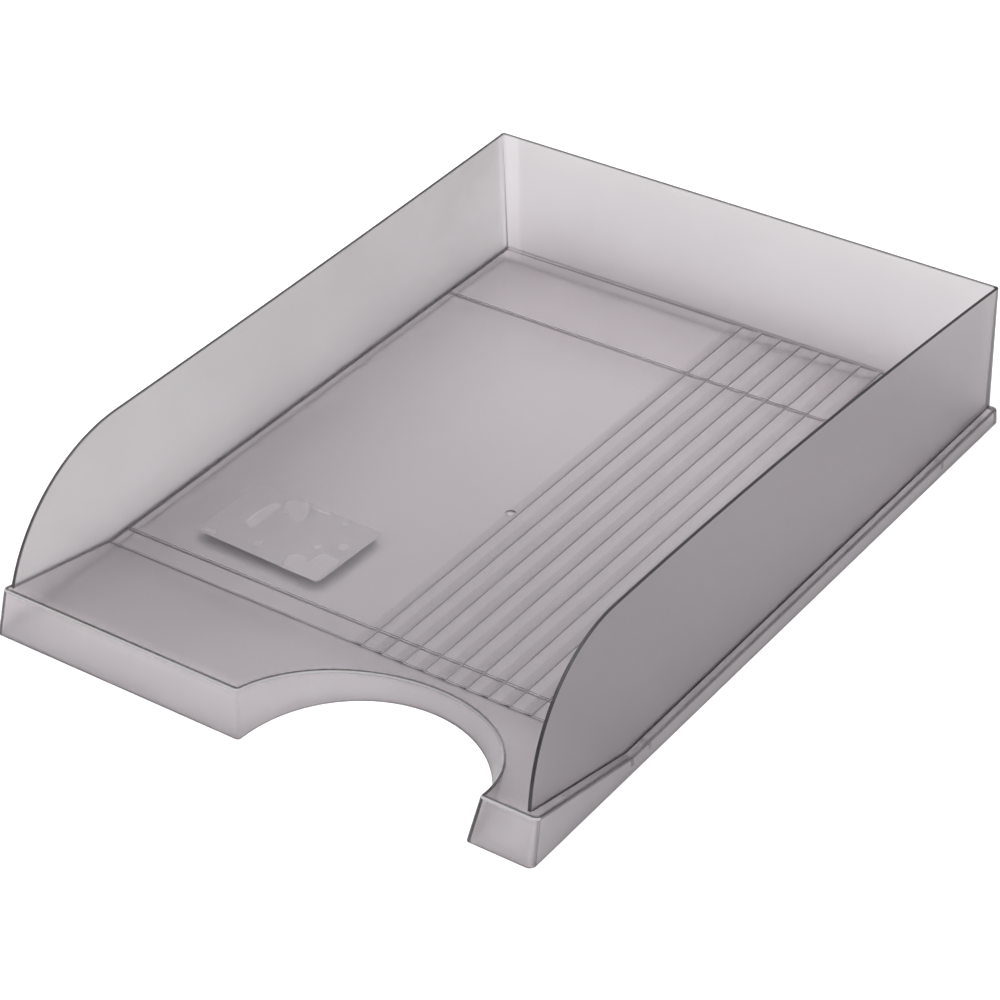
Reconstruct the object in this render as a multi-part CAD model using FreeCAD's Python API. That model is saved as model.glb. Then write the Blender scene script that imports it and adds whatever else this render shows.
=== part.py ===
"""Letter tray: one thin translucent polystyrene moulding, with a blank label under its floor.

Frame: millimetres, +X to the right, +Y to the back, +Z up, origin at the centre of the footprint
on the table.  The front, with the thumb cut-out, faces -Y.

The moulding is written as the regions that its designer would name (floor, ramp, walls, ledges,
skirts, ribs).  They meet face to face and never overlap.  Each region is one STEP file.
"""
import FreeCAD, Part
import math
import os
from FreeCAD import Vector

# ---------------------------------------------------------------- driving dimensions
WIDTH = 253.0                # over the skirts, on the table
DEPTH = 337.0                # front edge to back face, on the table
HEIGHT = 65.0                # table to the top edge of the walls

FLOOR_Z = 7.2                # top of the flat floor, and of the side ledges
FLOOR_T = 1.8                # floor, ramp and ledge thickness
SKIRT_T = 1.6                # skirts, apron and cut-out wall thickness
SKIRT_DRAFT = 0.05           # the skirts narrow by this much per millimetre of height
CREASE_Y = -104.3            # where the flat floor turns up into the front ramp
LIP_Y = -163.0               # top edge of the front apron
LIP_Z = 18.9

WALL_X = 123.2               # outer face of the side walls, at the ledge
WALL_TOP_X = 124.0           # outer face of the side walls, at the top of the back corners
WALL_T = 1.6                 # wall thickness at the floor
WALL_TOP_T = 1.3             # wall thickness at the top edge
BACK_FOOT_T = 3.3            # the back wall is thicker where it meets the floor
BACK_Y = DEPTH / 2           # outer face of the back wall, flush with the back of the skirt
LEAN_LEFT = 3.0              # how far the free top edges of the side walls draw in
LEAN_RIGHT = 10.0
LEAN_FULL_Y = -80.0          # in front of this the top edges run straight again
WALL_SPLIT_Y = 45.0          # joint between the middle and rear regions of a side wall
CORNER_R = 1.1               # outer radius of the upright back corners

SWEEP_R = 70.0               # the walls' front ends come down in one arc
SWEEP_Y = -95.0              # where that arc leaves the top edge

CUT_X = 46.0                 # thumb cut-out: centre, right of the tray's centre line
CUT_R = 51.6                 # its radius on the table
CUT_TOP_R = 54.9             # its radius at the height of the lip
CUT_TOP_SHIFT = 5.4          # its centre moves back by this much up to the lip

FRONT_CORNER_R = 2.6         # upright front corners
CUT_CORNER_R = 1.6           # upright corners beside the cut-out
EDGE_R = 1.5                 # the rounded upper outline: shoulders, lip and cut-out rim

RIDGE_PITCH = 9.85           # grip ridges along the right half of the floor
RIDGE_X = 3.5                # the upright face of the first one
RIDGE_COUNT = 12
RIDGE_H = 0.7

CROSS_RIB_T = 1.0            # cross ribs under the floor
CROSS_RIB_H = 2.6
CROSS_RIBS = {"front_cross_rib": CREASE_Y, "middle_cross_rib": -93.0, "rear_cross_rib": 123.0}

GATE_Y = -3.5                # dimple left by the injection gate
GATE_R = 2.2
GATE_DEPTH = 0.5

LABEL_SIZE = (64.0, 40.0, 0.15)
LABEL_CENTRE = (-68.0, -60.5)
LABEL_TURN = -2.0            # degrees

HALF_W = WIDTH / 2
FRONT_Y = -DEPTH / 2
FAR = 400.0                  # longer than the tray in every direction


# ---------------------------------------------------------------- helpers
def prism_x(points_yz, x0, x1):
    """A solid with the given outline in the YZ plane, from x0 to x1."""
    wire = Part.makePolygon([Vector(x0, y, z) for y, z in points_yz + points_yz[:1]])
    return Part.Face(wire).extrude(Vector(x1 - x0, 0, 0))


def prism_y(points_xz, y0, y1):
    """A solid with the given outline in the XZ plane, from y0 to y1."""
    wire = Part.makePolygon([Vector(x, y0, z) for x, z in points_xz + points_xz[:1]])
    return Part.Face(wire).extrude(Vector(0, y1 - y0, 0))


def box(x0, x1, y0, y1, z0, z1):
    return Part.makeBox(x1 - x0, y1 - y0, z1 - z0, Vector(x0, y0, z0))


def mirrored(shape):
    return shape.mirror(Vector(0, 0, 0), Vector(1, 0, 0))


def one_solid(shape):
    """The shape without seams, as its only solid."""
    solids = shape.removeSplitter().Solids
    if len(solids) != 1:
        raise ValueError("expected one solid, found %d" % len(solids))
    return solids[0]


# ---------------------------------------------------------------- the base form
RAMP_ANGLE = math.atan2(LIP_Z - FLOOR_Z, CREASE_Y - LIP_Y)
APRON_ANGLE = math.atan2(LIP_Z, LIP_Y - FRONT_Y)


def top_line(drop, bottom):
    """YZ outline under the tray's upper surface, lowered by drop and closed at z = bottom.

    The ramp is lowered at right angles to itself, and the apron and the back are moved
    in by the skirt's thickness when the line is lowered at all.
    """
    inset = SKIRT_T if drop else 0.0
    floor_z = FLOOR_Z - drop
    slope = math.tan(RAMP_ANGLE)
    ramp_z = LIP_Z - drop / math.cos(RAMP_ANGLE)
    crease_y = LIP_Y + (ramp_z - floor_z) / slope
    lean = math.tan(math.pi / 2 - APRON_ANGLE)
    foot_y = FRONT_Y + inset / math.sin(APRON_ANGLE)
    lip_y = (foot_y + lean * (ramp_z + slope * LIP_Y)) / (1 + lean * slope)
    lip_z = ramp_z + slope * (LIP_Y - lip_y)
    return [(BACK_Y - inset, bottom), (BACK_Y - inset, floor_z), (crease_y, floor_z),
            (lip_y, lip_z), (foot_y + lean * bottom, bottom)]


def side_limits(inset, bottom):
    """XZ outline between the drafted sides, moved in by inset."""
    foot = HALF_W - inset - SKIRT_DRAFT * bottom
    top = HALF_W - inset - SKIRT_DRAFT * HEIGHT
    return [(-foot, bottom), (foot, bottom), (top, HEIGHT), (-top, HEIGHT)]


def cut_cone(grow):
    """The thumb cut-out: an oblique cone whose radius is larger by grow."""
    steepness = (CUT_TOP_R - CUT_R) / LIP_Z
    shift = CUT_TOP_SHIFT / LIP_Z
    rings = []
    for z in (-2.0, LIP_Z + 8.0):
        centre = Vector(CUT_X, FRONT_Y + shift * z, z)
        circle = Part.makeCircle(CUT_R + steepness * z + grow, centre, Vector(0, 0, 1))
        rings.append(Part.Wire([circle]))
    return Part.makeLoft(rings, True, True)


def base_form():
    """The outside of the base: floor, ramp, ledges, skirts, apron and cut-out, as if solid."""
    form = prism_x(top_line(0.0, 0.0), -FAR, FAR)
    form = form.common(prism_y(side_limits(0.0, 0.0), -FAR, FAR))
    return one_solid(form.cut(cut_cone(0.0)))


def hollow_form():
    """The space under the base, open at the table."""
    space = prism_x(top_line(FLOOR_T, -1.0), -FAR, FAR)
    space = space.common(prism_y(side_limits(SKIRT_T, -1.0), -FAR, FAR))
    return one_solid(space.cut(cut_cone(SKIRT_T)))


def upright_corners(shape, x0, x1):
    """Edges that run up the apron from the table to the lip, between x0 and x1 either side."""
    found = []
    for edge in shape.Edges:
        if len(edge.Vertexes) != 2:
            continue
        low, high = sorted((v.Point for v in edge.Vertexes), key=lambda p: p.z)
        is_tall = low.z < 0.01 and high.z > LIP_Z - 0.5
        if is_tall and low.y < FRONT_Y + 1.0 and x0 < abs(low.x) < x1:
            found.append(edge)
    return found


def upper_outline(shape):
    """Edges where the upper surface meets the sides, the apron or the cut-out wall."""
    found = []
    for edge in shape.Edges:
        middle = edge.valueAt((edge.FirstParameter + edge.LastParameter) / 2)
        points = [v.Point for v in edge.Vertexes] + [middle]
        rises = [max(0.0, CREASE_Y - p.y) * math.tan(RAMP_ANGLE) for p in points]
        is_on_top = all(abs(p.z - FLOOR_Z - rise) < 0.02 for p, rise in zip(points, rises))
        is_crease = all(abs(p.y - CREASE_Y) < 0.01 for p in points)
        is_back = all(abs(p.y - BACK_Y) < 0.01 for p in points)
        if is_on_top and not is_crease and not is_back:
            found.append(edge)
    return found


def rounded_base():
    form = base_form()
    form = form.makeFillet(FRONT_CORNER_R, upright_corners(form, HALF_W - 3.0, FAR))
    form = form.makeFillet(CUT_CORNER_R, upright_corners(form, 0.0, HALF_W - 10.0))
    return form.makeFillet(EDGE_R, upper_outline(form))


# ---------------------------------------------------------------- regions of the base
INNER_X = WALL_X - WALL_T            # inner face of the side walls, at the floor
SKIRT_INNER_X = HALF_W - SKIRT_T - 0.6


def below_plates():
    """Everything lower than the underside of floor, ramp and ledges, inside and out."""
    outline = top_line(FLOOR_T, -1.0)
    back, crease, lip = outline[1], outline[2], outline[3]
    slope = math.tan(RAMP_ANGLE)
    front = (-FAR, lip[1] + slope * (lip[0] + FAR))
    return prism_x([(FAR, -1.0), (FAR, back[1]), crease, front, (-FAR, -1.0)], -FAR, FAR)


def build_base(parts):
    """The plates above, and the upright skirts, apron and cut-out wall below."""
    shell = rounded_base().cut(hollow_form())
    lower_zone = below_plates()
    plates = shell.cut(lower_zone)
    uprights = shell.common(lower_zone)

    parts["floor_panel"] = plates.common(box(-INNER_X, INNER_X, CREASE_Y, FAR, -1, FAR))
    parts["front_ramp"] = plates.common(box(-INNER_X, INNER_X, -FAR, CREASE_Y, -1, FAR))
    parts["left_ledge"] = plates.common(box(-FAR, -INNER_X, -FAR, FAR, -1, FAR))
    parts["right_ledge"] = plates.common(box(INNER_X, FAR, -FAR, FAR, -1, FAR))

    around_cut = cut_cone(SKIRT_T)
    middle = uprights.common(box(-SKIRT_INNER_X, SKIRT_INNER_X, -FAR, FAR, -1, FAR))
    parts["left_skirt"] = uprights.common(box(-FAR, -SKIRT_INNER_X, -FAR, FAR, -1, FAR))
    parts["right_skirt"] = uprights.common(box(SKIRT_INNER_X, FAR, -FAR, FAR, -1, FAR))
    parts["back_skirt"] = middle.common(box(-FAR, FAR, 0, FAR, -1, FAR))
    parts["thumb_cutout_wall"] = middle.common(around_cut)
    front = middle.common(box(-FAR, FAR, -FAR, 0, -1, FAR)).cut(around_cut)
    parts["apron_left"] = front.common(box(-FAR, CUT_X, -FAR, 0, -1, FAR))
    parts["apron_right"] = front.common(box(CUT_X, FAR, -FAR, 0, -1, FAR))


# ---------------------------------------------------------------- walls
BACK_FOOT_Y = BACK_Y - BACK_FOOT_T       # inner face of the back wall, at the floor
BACK_TOP_Y = BACK_Y - WALL_TOP_T         # and at its top edge


def top_lean(y, most):
    """How far the top edge of a side wall has drawn in at y."""
    along = (max(y, LEAN_FULL_Y) - LEAN_FULL_Y) / (BACK_Y - LEAN_FULL_Y)
    return most * (1.0 - along ** 2)


def front_of_sweep():
    """Everything above and in front of the arc that ends the side walls."""
    centre_z = HEIGHT - SWEEP_R
    start = Vector(-FAR, SWEEP_Y, HEIGHT)
    bend = math.radians(45)
    middle = Vector(-FAR, SWEEP_Y - SWEEP_R * math.sin(bend), centre_z + SWEEP_R * math.cos(bend))
    end = Vector(-FAR, SWEEP_Y - SWEEP_R, centre_z)
    corners = [end, Vector(-FAR, -FAR, centre_z), Vector(-FAR, -FAR, FAR),
               Vector(-FAR, SWEEP_Y, FAR), start]
    sides = Part.makePolygon(corners).Edges
    outline = Part.Wire([Part.Arc(start, middle, end).toShape()] + sides)
    return Part.Face(outline).extrude(Vector(2 * FAR, 0, 0))


def right_wall_blank(most_lean):
    """The side wall on the +X side, standing on the level of the floor."""
    stations = [BACK_Y, 110.0, 50.0, -15.0, LEAN_FULL_Y, FRONT_Y]
    sections = []
    for y in stations:
        top_x = WALL_TOP_X - top_lean(y, most_lean)
        corners = [(WALL_X, FLOOR_Z), (top_x, HEIGHT), (top_x - WALL_TOP_T, HEIGHT), (INNER_X, FLOOR_Z)]
        points = [Vector(x, y, z) for x, z in corners]
        sections.append(Part.makePolygon(points + points[:1]))
    return Part.makeLoft(sections, True, False)


def back_wall():
    rear = prism_x([(BACK_FOOT_Y, FLOOR_Z), (BACK_Y, FLOOR_Z), (BACK_Y, HEIGHT),
                    (BACK_TOP_Y, HEIGHT)], -FAR, FAR)
    rear = rear.common(prism_y([(-WALL_X, FLOOR_Z), (WALL_X, FLOOR_Z), (WALL_TOP_X, HEIGHT),
                                (-WALL_TOP_X, HEIGHT)], 0, FAR))
    corners = [e for e in rear.Edges
               if all(abs(v.Y - BACK_Y) < 0.01 for v in e.Vertexes)
               and abs(e.Vertexes[0].Z - e.Vertexes[1].Z) > 1.0]
    return rear.makeFillet(CORNER_R, corners)


def behind_back_wall():
    """Everything behind the inner face of the back wall, and above the floor."""
    return prism_x([(BACK_FOOT_Y, FLOOR_Z), (FAR, FLOOR_Z), (FAR, HEIGHT), (BACK_TOP_Y, HEIGHT)],
                   -FAR, FAR)


def build_walls(parts):
    parts["back_wall"] = back_wall()
    ground = prism_x(top_line(0.0, -1.0), -FAR, FAR)
    gone = ground.fuse(front_of_sweep()).fuse(behind_back_wall())
    right = right_wall_blank(LEAN_RIGHT).cut(gone)
    left = mirrored(right_wall_blank(LEAN_LEFT)).cut(gone)
    spans = {"front": (-FAR, LEAN_FULL_Y), "middle": (LEAN_FULL_Y, WALL_SPLIT_Y),
             "rear": (WALL_SPLIT_Y, FAR)}
    for name, (y0, y1) in spans.items():
        span = box(-FAR, FAR, y0, y1, -1, FAR)
        parts["right_wall_" + name] = right.common(span)
        parts["left_wall_" + name] = left.common(span)


# ---------------------------------------------------------------- details
def build_details(parts):
    dimple = Part.makeCylinder(GATE_R, GATE_DEPTH + 1.0, Vector(0, GATE_Y, FLOOR_Z - GATE_DEPTH))
    parts["floor_panel"] = parts["floor_panel"].cut(dimple)

    ridges = []
    for i in range(RIDGE_COUNT):
        face_x = RIDGE_X + i * RIDGE_PITCH
        outline = [(face_x - RIDGE_PITCH / 2, FLOOR_Z), (face_x, FLOOR_Z), (face_x, FLOOR_Z + RIDGE_H)]
        ridges.append(prism_y(outline, CREASE_Y, BACK_Y).cut(behind_back_wall()))
    parts["grip_ridges"] = Part.makeCompound(ridges)

    space = hollow_form()
    low = FLOOR_Z - FLOOR_T - CROSS_RIB_H
    for name, y in CROSS_RIBS.items():
        bar = box(-FAR, FAR, y - CROSS_RIB_T / 2, y + CROSS_RIB_T / 2, low, FAR)
        parts[name] = bar.common(space)

    length, width, thickness = LABEL_SIZE
    label = box(-length / 2, length / 2, -width / 2, width / 2, -thickness, 0)
    label.rotate(Vector(0, 0, 0), Vector(0, 0, 1), LABEL_TURN)
    label.translate(Vector(LABEL_CENTRE[0], LABEL_CENTRE[1], FLOOR_Z - FLOOR_T))
    parts["label"] = label


def main():
    parts = {}
    build_base(parts)
    build_walls(parts)
    build_details(parts)
    os.makedirs("parts", exist_ok=True)
    for name, shape in parts.items():
        if not shape.isValid():
            raise ValueError(name + " is not a valid solid")
        shape.exportStep("parts/" + name + ".step")
        print("%-18s %d solid(s) %10.1f mm3" % (name, len(shape.Solids), shape.Volume))


main()
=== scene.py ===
"""Letter tray: the looks of one translucent smoke-grey moulding and of the blank label under it.

The whole moulding is one closed shell with real wall thickness, built patch by patch in
millimetres.  It stands for every plastic node of the frame, so light passes through it
without inner seams.  Main sizes come from the frame; radii and other small details are
named values below.
"""
import math

import bmesh
import bpy
from mathutils import Matrix, Vector


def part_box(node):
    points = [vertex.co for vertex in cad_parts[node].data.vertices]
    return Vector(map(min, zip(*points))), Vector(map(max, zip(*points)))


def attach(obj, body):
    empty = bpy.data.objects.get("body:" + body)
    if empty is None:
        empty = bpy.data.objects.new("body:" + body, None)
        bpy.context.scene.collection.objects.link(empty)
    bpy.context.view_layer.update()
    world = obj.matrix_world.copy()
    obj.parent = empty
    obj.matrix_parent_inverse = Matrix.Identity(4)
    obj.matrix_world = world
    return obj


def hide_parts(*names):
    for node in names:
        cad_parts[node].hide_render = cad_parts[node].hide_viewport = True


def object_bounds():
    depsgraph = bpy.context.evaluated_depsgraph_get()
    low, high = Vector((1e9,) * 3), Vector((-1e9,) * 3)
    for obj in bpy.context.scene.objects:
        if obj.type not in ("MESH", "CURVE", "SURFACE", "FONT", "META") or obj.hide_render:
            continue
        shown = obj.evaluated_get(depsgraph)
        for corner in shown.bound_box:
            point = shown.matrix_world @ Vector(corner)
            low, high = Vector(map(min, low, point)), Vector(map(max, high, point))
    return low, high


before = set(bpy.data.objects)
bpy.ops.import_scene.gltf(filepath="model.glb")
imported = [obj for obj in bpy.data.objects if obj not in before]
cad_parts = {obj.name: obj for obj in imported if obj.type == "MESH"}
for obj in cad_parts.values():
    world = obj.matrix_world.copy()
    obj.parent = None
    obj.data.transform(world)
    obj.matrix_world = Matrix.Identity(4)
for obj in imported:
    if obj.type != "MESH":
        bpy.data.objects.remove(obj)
CAD_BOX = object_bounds()
MM = 0.001


def box_mm(node):
    """Low and high corner of a node's box, in millimetres."""
    low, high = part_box(node)
    return Vector(low) / MM, Vector(high) / MM


# ---------------------------------------------------------------- sizes, in millimetres
BOX_LOW, BOX_HIGH = (Vector(corner) / MM for corner in CAD_BOX)
HALF_W = BOX_HIGH.x
BACK_Y = BOX_HIGH.y
FRONT_Y = BOX_LOW.y
HEIGHT = BOX_HIGH.z

FLOOR_LOW, FLOOR_HIGH = box_mm("floor_panel")
FLOOR_T = 1.8
FLOOR_Z = FLOOR_LOW.z + FLOOR_T      # the floor panel's top also carries the crease
CREASE_Y = FLOOR_LOW.y
INNER_X = FLOOR_HIGH.x               # inner face of the side walls, at the floor
LIP_Y = -163.0
LIP_Z = 18.9

SKIRT_T = 1.6
SKIRT_DRAFT = 0.05
WALL_T = 1.6
WALL_X = INNER_X + WALL_T
WALL_TOP_X = 124.0
WALL_TOP_T = 1.3
BACK_FOOT_T = 3.3
BACK_FOOT_Y = BACK_Y - BACK_FOOT_T
BACK_TOP_Y = BACK_Y - WALL_TOP_T
LEAN = {-1: 3.0, 1: 10.0}            # how far the free top edges draw in, left and right
LEAN_FULL_Y = -80.0

SWEEP_R = 70.0                       # the arc that ends the side walls
SWEEP_Y = -95.0
SWEEP_Z = HEIGHT - SWEEP_R
TIP_LENGTH = 1.3                     # what is left of the wall's height at its front end

CUT_X = 46.0                         # the thumb cut-out
CUT_R = 51.6
CUT_TOP_R = 54.9
CUT_TOP_SHIFT = 5.4                  # how far its centre moves back up to the lip
CUT_SLACK = 1.0                      # columns up to this far outside it belong to its wall
CUT_FADE = 40.0                      # the wall's painted shade is full this far right of its left end

FRONT_CORNER_R = 2.6
CUT_CORNER_R = 1.6
MIN_CORNER_R = 0.4                   # of the inner face, where the corner radius runs out
EDGE_R = 1.5
OUTER_CORNER_R = 1.1                 # upright back corners of the walls
INNER_CORNER_R = 0.9
RIM_R = 0.42                         # rounded edges of the walls' upper rim

RIDGE_PITCH = 9.85
RIDGE_X = 3.5
RIDGE_COUNT = 12
RIDGE_H = 0.7
RIDGE_NOSE = 1.4                     # how far the ridges run on up the ramp
NOSE_SHARE = 0.8                     # of their height that is left there
RISE_STEP = (0.5, 0.05)              # where the long rise leaves its toe
CREST_R = 0.3
CREST_BACK = 0.32                    # of the crest's centre, behind the steep face
FALL_STEPS = ((0.12, 0.06), (0.3, 0.0))  # foot of the steep face

# lines painted dark as shade: how high or wide each one is
BACK_LINE = 1.1                      # along the foot of the back wall
RIB_LINE_W = 0.8                     # on the underside, in front of each cross rib
HEM_H = 0.45                         # along the bottom edge
FOOT_LINE = 0.7                      # along the feet of the side walls
FOOT_LINE_SHARE = 0.3                # of a wall's height that this line takes at most

# surface finishes, as (frost, shade): frost makes it rougher, shade darkens its colour, which is painted
# shade, on walls and skirts partly the plastic's smoky tint too
CLEAR = (0.0, 0.0)
# painted shade on the ridges: the long rise a little darker, the crest and steep face darker still
RISING = (0.0, 0.13)
FALLING = (1.0, 0.22)
# the walls' smoky tint, with the left wall painted darker than the right and the back wall in between, as
# painted shade
WALL = {1: (1.0, 0.18), -1: (1.0, 0.37)}
BACK_WALL = (1.0, 0.29)
# painted shade: dark lines along the walls' rims and feet
RIM = {1: (0.9, 1.0), -1: (0.9, 0.75)}
BACK_RIM = (0.9, 0.6)
FOOT = (0.8, 0.93)
# outside of the skirts and the apron: the plastic's smoky tint, painted darker on the side skirts as shade;
# the inside is left clear
SKIRT = (1.0, 0.36)
SKIRT_INSIDE = (1.0, 0.0)
APRON = (1.0, 0.17)
CUT_SHADE = 0.26                     # painted shade of the cut-out wall, towards the right
CUT_BAND_SHADE = 0.3                 # painted shade that dims the painted highlight band round its rim, there
# painted shade: a dark line along the bottom edge, dark marks at the rib ends, front corners and ridge
# fronts, a faint dark line at the lip, a dark line along the sides' rounded edge, darker inner back corners
# and a dark strip in front of each cross rib; the pale front right corner is a painted highlight
HEM = (1.0, 0.7)
CORNER_GLOW = (1.0, 0.0)
PAINTED_DARK_MARK = (1.0, 0.8)
EDGE = (1.0, 0.0)
LIP_LINE = (1.0, 0.05)
SHOULDER = (1.0, 0.8)
CORNER = (1.0, 0.35)
RIB_SIDE = (1.0, 0.0)
RIB_LINE = (0.3, 0.6)

# material slots of the moulding
PLASTIC = 0
# the opaque material that paints the highlight band and some dark lines
PAINTED_OPAQUE_SLOT = 1

# the faces of a ridge, left to right: rise, crest and steep face, toe
RIDGE_FINISHES = [RISING] * 3 + [FALLING] * 4 + [CLEAR]
# the two steepest faces are painted in the opaque material, as a line of painted shade
RIDGE_SLOTS = [PLASTIC] * 5 + [PAINTED_OPAQUE_SLOT] * 2 + [PLASTIC]

RIB_DEPTH = 1.2                      # of the cross ribs that are seen through the floor
RIB_BOTTOM_Z = FLOOR_Z - FLOOR_T - RIB_DEPTH
RIB_MARK_TRIM = 0.2
MARK_LOW_Z = box_mm("middle_cross_rib")[0].z + RIB_MARK_TRIM  # lower end of their marks on the skirts
RIBS = [(box_mm(name)[0].y, box_mm(name)[1].y)
        for name in ("rear_cross_rib", "middle_cross_rib", "front_cross_rib")]

GATE_Y = -3.5
GATE_R = 2.2
GATE_DEPTH = 0.5
GATE_SIDES = 32
GATE_WELD = 0.001
GATE_PAINTED_SHADE_TURN = math.radians(-54.0)  # the side of the mark's wall that is painted dark as shade, from +X
GATE_PAINTED_SHADE_REACH = 0.2                # cosine of the angle up to which it is painted dark
# the cutter's outline: radius as a share of GATE_R, and height over the floor
GATE_RINGS = ((0.0, -GATE_DEPTH), (0.5, -0.96 * GATE_DEPTH), (0.8, -0.8 * GATE_DEPTH),
              (0.9, -0.5 * GATE_DEPTH), (1.0, 0.3), (1.05, 1.2), (0.0, 1.2))

RAMP_SLOPE = (LIP_Z - FLOOR_Z) / (CREASE_Y - LIP_Y)
UNDER_DROP = FLOOR_T * math.hypot(1.0, RAMP_SLOPE)

# how finely the curves are divided
SWEEP_STEPS_FLOOR = 12
SWEEP_STEPS_RAMP = 14
STRAIGHT_STEPS = 22
BACK_CORNER_STEPS = 5
FRONT_CORNER_STEPS = 6
CUT_CORNER_STEPS = 5
CUT_STEPS = 56
APRON_STEPS_RIGHT = 6
APRON_STEPS_LEFT = 16
EDGE_STEPS = 6
RIM_STEPS = 4
WALL_ROWS = 4
CREST_STEPS = 4
TINY = 0.01                          # differences below this count as none


# ---------------------------------------------------------------- small helpers
def span(start, stop, count):
    """count + 1 evenly spaced values from start to stop."""
    return [start + (stop - start) * i / count for i in range(count + 1)]


def lerp(a, b, t):
    """The value a share t of the way from a to b."""
    return a + (b - a) * t


def top_z(y):
    """Height of the floor, ledges and ramp."""
    return FLOOR_Z + RAMP_SLOPE * max(0.0, CREASE_Y - y)


def under_z(y):
    """Height of the underside of floor and ramp."""
    return max(FLOOR_Z - FLOOR_T, FLOOR_Z - UNDER_DROP + RAMP_SLOPE * (CREASE_Y - y))


class Shell:
    """A closed mesh under construction, in millimetres."""

    CELLS_PER_MM = 200.0                 # points in the same cell become one vertex
    WELD = 0.004

    def __init__(self):
        self.slot = PLASTIC
        self.bm = bmesh.new()
        self.frost = self.bm.faces.layers.float.new("frost")
        self.shade = self.bm.faces.layers.float.new("shade")
        self.corners = {}

    def vertex(self, point):
        """The vertex at that point, made once."""
        key = tuple(round(c * self.CELLS_PER_MM) for c in point)
        if key not in self.corners:
            self.corners[key] = self.bm.verts.new(Vector(point))
        return self.corners[key]

    def face(self, points, finish=CLEAR):
        """One face through the points; repeated points are dropped."""
        verts = []
        for point in points:
            vert = self.vertex(point)
            if vert not in verts:
                verts.append(vert)
        if len(verts) > 2 and not self.bm.faces.get(verts):
            face = self.bm.faces.new(verts)
            face[self.frost], face[self.shade] = finish
            face.material_index = self.slot

    def grid(self, columns, finish=CLEAR):
        """Quads between neighbouring columns of equally many points."""
        for a, b in zip(columns, columns[1:]):
            for k in range(len(a) - 1):
                self.face([a[k], b[k], b[k + 1], a[k + 1]], finish)

    def finish(self, name):
        """Weld the mesh and turn it into an object."""
        return as_object(self.bm, name, self.WELD)


def as_object(bm, name, weld):
    """An object made of a mesh in millimetres, in metres."""
    bmesh.ops.remove_doubles(bm, verts=bm.verts, dist=weld)
    bmesh.ops.recalc_face_normals(bm, faces=bm.faces)
    bm.transform(Matrix.Scale(MM, 4))
    mesh = bpy.data.meshes.new(name)
    bm.to_mesh(mesh)
    bm.free()
    piece = bpy.data.objects.new(name, mesh)
    bpy.context.collection.objects.link(piece)
    return piece


# ---------------------------------------------------------------- stations shared by skirts, ledges, walls
def sweep_angle(y):
    """Direction, seen from the sweep's centre, of the foot of the wall at y."""
    return math.atan2(SWEEP_Y - y, top_z(y) - SWEEP_Z)


def foot_at(angle):
    """Where the ray from the sweep's centre at that angle meets the floor or the ramp."""
    y = SWEEP_Y - (FLOOR_Z - SWEEP_Z) * math.tan(angle)
    if y >= CREASE_Y:
        return y
    reach = top_z(0.0) + RAMP_SLOPE * (CREASE_Y - SWEEP_Y) - SWEEP_Z
    return SWEEP_Y - reach * math.sin(angle) / (math.cos(angle) - RAMP_SLOPE * math.sin(angle))


STEEPEST_TIP = math.radians(85)
HALVINGS = 40


def tip_angle():
    """Angle at which only TIP_LENGTH of the wall is left between ramp and arc."""
    low, high = 0.0, STEEPEST_TIP
    for _ in range(HALVINGS):
        angle = (low + high) / 2
        y = foot_at(angle)
        length = SWEEP_R - math.hypot(SWEEP_Y - y, top_z(y) - SWEEP_Z)
        low, high = (angle, high) if length > TIP_LENGTH else (low, angle)
    return low


CORNER_TURNS = span(math.pi / 2, 0.0, BACK_CORNER_STEPS)
CORNER_YS = [BACK_Y - OUTER_CORNER_R * (1 - math.sin(t)) for t in CORNER_TURNS]
STRAIGHT_BACK_Y = 156.0              # even stations on the straight part of the walls
STRAIGHT_FRONT_Y = SWEEP_Y + 9.0
STRAIGHT_GAP = 1.5                   # least distance of such a station from a rib's
SWEEP_GAP = 0.12                     # the same for a station of the sweep


def side_stations():
    """Places along the sides, from the back forward to the wall's front end."""
    crease_angle = sweep_angle(CREASE_Y)
    arc = [foot_at(a) for a in span(0.0, crease_angle, SWEEP_STEPS_FLOOR)[:-1]]
    arc += [foot_at(a) for a in span(crease_angle, tip_angle(), SWEEP_STEPS_RAMP)]
    arc = [CREASE_Y if abs(y - CREASE_Y) < TINY else y for y in arc]
    ribs = [y for low, high in RIBS for y in (low - RIB_LINE_W, low, high)]
    straight = [y for y in span(STRAIGHT_BACK_Y, STRAIGHT_FRONT_Y, STRAIGHT_STEPS)
                if min(abs(y - r) for r in ribs) > STRAIGHT_GAP]
    arc = [y for y in arc if y == CREASE_Y or min(abs(y - r) for r in ribs) > SWEEP_GAP]
    return sorted(set(CORNER_YS[1:] + straight + arc + ribs + [BACK_Y]), reverse=True)


SIDE_YS = side_stations()
TIP_Y = SIDE_YS[-1]
PAIRED_Y = TIP_Y + 6.0               # behind this, the ledges are strips of quads


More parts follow.
